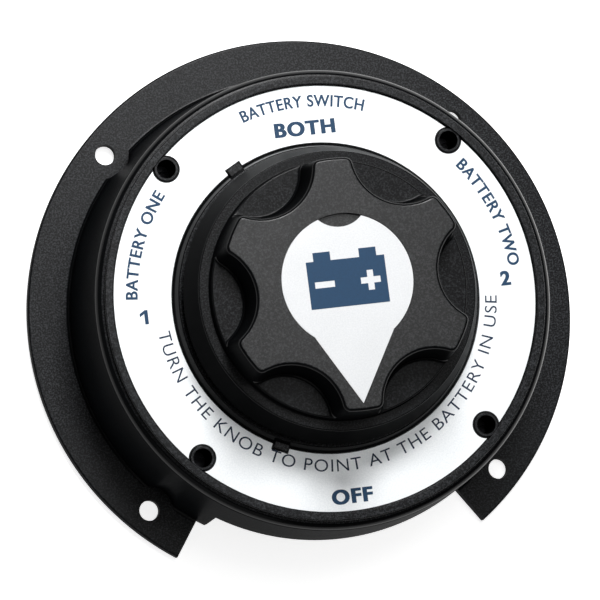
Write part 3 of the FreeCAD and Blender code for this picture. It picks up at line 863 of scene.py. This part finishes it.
def add_pointer_mark(blue):
    """A plain battery sign on the pointer: a box with two posts, a minus and a plus cut out."""
    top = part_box("pointer_plate")[1][2]
    thick = 1.0 * MM
    middle = 0.4 * MM
    wide = 9.6 * MM
    high = 5.7 * MM
    post_x = 5.6 * MM
    post_half = 2.1 * MM
    post_top = 2.1 * MM
    sign = 2.4 * MM
    stroke = 0.75 * MM

    def bar(x, half_wide, half_high):
        """A tool for one stroke of a sign, through the whole thickness."""
        return brick((x - half_wide, middle - half_high, -thick),
                     (x + half_wide, middle + half_high, 2 * thick))

    mark = brick((-wide, middle - high, 0), (wide, middle + high, thick))
    mark.name = "pointer_mark"
    low = middle + high - 0.5 * MM
    posts = [
        brick((x - post_half, low, 0), (x + post_half, middle + high + post_top, thick))
        for x in (-post_x, post_x)]
    combine(mark, posts, "UNION")
    combine(mark, [bar(x, sign, stroke) for x in (-post_x, post_x)], "DIFFERENCE")
    combine(mark, [bar(post_x, stroke, sign)], "DIFFERENCE")
    for v in mark.data.vertices:
        v.co.z = top + (INK_THICKNESS if v.co.z > thick / 2 else 0.0)
    finish_print(mark, KNOB, blue)


# Stage

def camera_axes():
    back = Vector((
        math.sin(CAMERA_TILT) * math.cos(CAMERA_AZIMUTH),
        math.sin(CAMERA_TILT) * math.sin(CAMERA_AZIMUTH),
        math.cos(CAMERA_TILT),
    ))
    up_hint = Vector((math.sin(CAMERA_TURN), math.cos(CAMERA_TURN), 0))
    right = up_hint.cross(back).normalized()
    return right, back.cross(right), back


def add_camera():
    right, up, back = camera_axes()
    data = bpy.data.cameras.new("camera")
    data.lens = CAMERA_LENS
    data.sensor_width = SENSOR_WIDTH
    camera = bpy.data.objects.new("camera", data)
    turn = Matrix((right, up, back)).transposed().to_4x4()
    camera.matrix_world = Matrix.Translation(CAMERA_AIM + back * CAMERA_DISTANCE) @ turn
    bpy.context.scene.collection.objects.link(camera)
    bpy.context.scene.camera = camera


def add_light(name, across, along, height, size, power):
    """A soft square lamp, placed by how the camera sees the switch: across, along and above it."""
    right, up, back = camera_axes()
    place = right * across + up * along + Vector((0, 0, height))
    data = bpy.data.lights.new(name, "AREA")
    data.shape = "SQUARE"
    data.size = size
    data.energy = power
    lamp = bpy.data.objects.new(name, data)
    turn = place.to_track_quat("Z", "Y").to_matrix().to_4x4()
    lamp.matrix_world = Matrix.Translation(place) @ turn
    bpy.context.scene.collection.objects.link(lamp)


def add_stage():
    deselect_all()
    floor_z = cad_box[0][2] - FLOOR_DROP
    bpy.ops.mesh.primitive_plane_add(size=FLOOR_SIZE, location=(0, 0, floor_z))
    floor = bpy.context.object
    floor.name = "floor"
    material, shader = new_material("pale_floor")
    mottle = noise(material, 60 * MM)
    colour_by(material, shader, mottle, (0.93, 0.93, 0.93), (0.96, 0.96, 0.96))
    shader.inputs["Roughness"].default_value = 0.9
    shader.inputs["Emission Color"].default_value = (1, 1, 1, 1)
    shader.inputs["Emission Strength"].default_value = FLOOR_GLOW
    put_material(floor, material)
    world = bpy.data.worlds.new("studio")
    world.use_nodes = True
    background = world.node_tree.nodes["Background"]
    background.inputs["Color"].default_value = (1, 1, 1, 1)
    background.inputs["Strength"].default_value = WORLD_GLOW
    bpy.context.scene.world = world
    for lamp in LAMPS:
        add_light(*lamp)
    bpy.context.scene.view_settings.view_transform = "Standard"


# Contact springs

def add_bar_springs(material):
    """The two coils over the contact bar, copied from the model and carried with the knob and
    rotor.
    """
    springs = bpy.data.objects.new("bar_springs", frame["nodes"]["contact_springs"].data.copy())
    bpy.context.scene.collection.objects.link(springs)
    finish_print(springs, KNOB, material)
    smooth_by_angle(springs, SPRING_SMOOTH_ANGLE)
    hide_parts("contact_springs")
    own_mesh(springs)


# Build

edge_polish = polished_plastic(
    "edge_polish", (0.0018, 0.002, 0.0023), (0.0035, 0.0038, 0.0042), 0.14, 0.24, gloss=0.1)
wall_black = polished_plastic(
    "wall_black", (0.0015, 0.0017, 0.002), (0.004, 0.0044, 0.005), 0.36, 0.46, gloss=0.003)
skirt_black = polished_plastic(
    "skirt_black", (0.0014, 0.0016, 0.0018), (0.003, 0.0032, 0.0036), 0.3, 0.4, gloss=0.004)
# The light colours of these grains are painted glints off the pitted grain; the dark colours are
# the plastic.
flange_grain = grained_plastic(
    "flange_grain", (0.002, 0.0024, 0.003), (0.034, 0.036, 0.04), 0.3, 0.38,
    0.42 * MM, 0.03 * MM, gloss=0.13)
knob_grain = grained_plastic(
    "knob_grain", (0.002, 0.0023, 0.0026), (0.026, 0.027, 0.029), 0.28, 0.34,
    0.42 * MM, 0.03 * MM, gloss=0.24)
# A darker, less glossy copy of the knob grain: painted shade on the scallop pocket floors, low
# between the lobes.
pocket_grain_painted_shade = grained_plastic(
    "pocket_grain_painted_shade", (0.002, 0.0023, 0.0026), (0.02, 0.021, 0.023), 0.3, 0.36,
    0.42 * MM, 0.03 * MM, gloss=0.08)
base_plastic = grained_plastic(
    "base_plastic", (0.01, 0.01, 0.012), (0.03, 0.03, 0.033), 0.45, 0.6, 0.8 * MM, 0.04 * MM)
dial_finish = satin_metal("dial_finish", (0.78, 0.81, 0.83), (0.9, 0.92, 0.93), 0.42, 0.2)
pointer_finish = satin_metal("pointer_finish", (0.6, 0.612, 0.625), (0.68, 0.69, 0.7), 0.4, 0.1)
blue_ink = printed_ink("blue_ink", (0.007, 0.038, 0.09), (0.013, 0.056, 0.125))
navy_ink = printed_ink("navy_ink", (0.006, 0.018, 0.045), (0.012, 0.03, 0.07))
copper = turned_metal("copper", (0.5, 0.24, 0.14), (0.75, 0.42, 0.28), 0.3)
stud_plate = turned_metal("stud_plate", (0.5, 0.46, 0.36), (0.75, 0.7, 0.58), 0.3)
nut_plate = turned_metal("nut_plate", (0.5, 0.44, 0.3), (0.78, 0.7, 0.5), 0.28)
steel = turned_metal("steel", (0.42, 0.42, 0.44), (0.62, 0.62, 0.64), 0.28)
# Nearly black steel for the case screws: painted shade, as they sit deep in the ear holes.
black_steel = turned_metal("black_steel", (0.008, 0.008, 0.009), (0.02, 0.02, 0.022), 0.4)
spring_steel = turned_metal("spring_steel", (0.3, 0.3, 0.32), (0.5, 0.5, 0.52), 0.35)
rotor_plastic = grained_plastic(
    "rotor_plastic", (0.6, 0.58, 0.5), (0.75, 0.73, 0.66), 0.35, 0.5, 0.8 * MM, 0.02 * MM)
rubber = soft_rubber("rubber")

materials = {
    "base_plastic": base_plastic,
    "dial_metal": dial_finish,
    "pointer_metal": pointer_finish,
    "gasket_rubber": rubber,
    "seal_rubber": rubber,
    "copper": copper,
    "stud_metal": stud_plate,
    "nut_metal": nut_plate,
    "steel": steel,
    "spring_steel": spring_steel,
    "black_steel": black_steel,
    "rotor_plastic": rotor_plastic,
}
for subpart in frame["record"]["subparts"]:
    if subpart["material_slot"] in materials:
        put_material(frame["nodes"][subpart["node"]], materials[subpart["material_slot"]])

add_case(edge_polish, wall_black, flange_grain)
add_knob(edge_polish, skirt_black, knob_grain, pocket_grain_painted_shade)
add_bar_springs(spring_steel)
add_dial_legend(blue_ink, navy_ink)
add_pointer_mark(blue_ink)
add_camera()
add_stage()
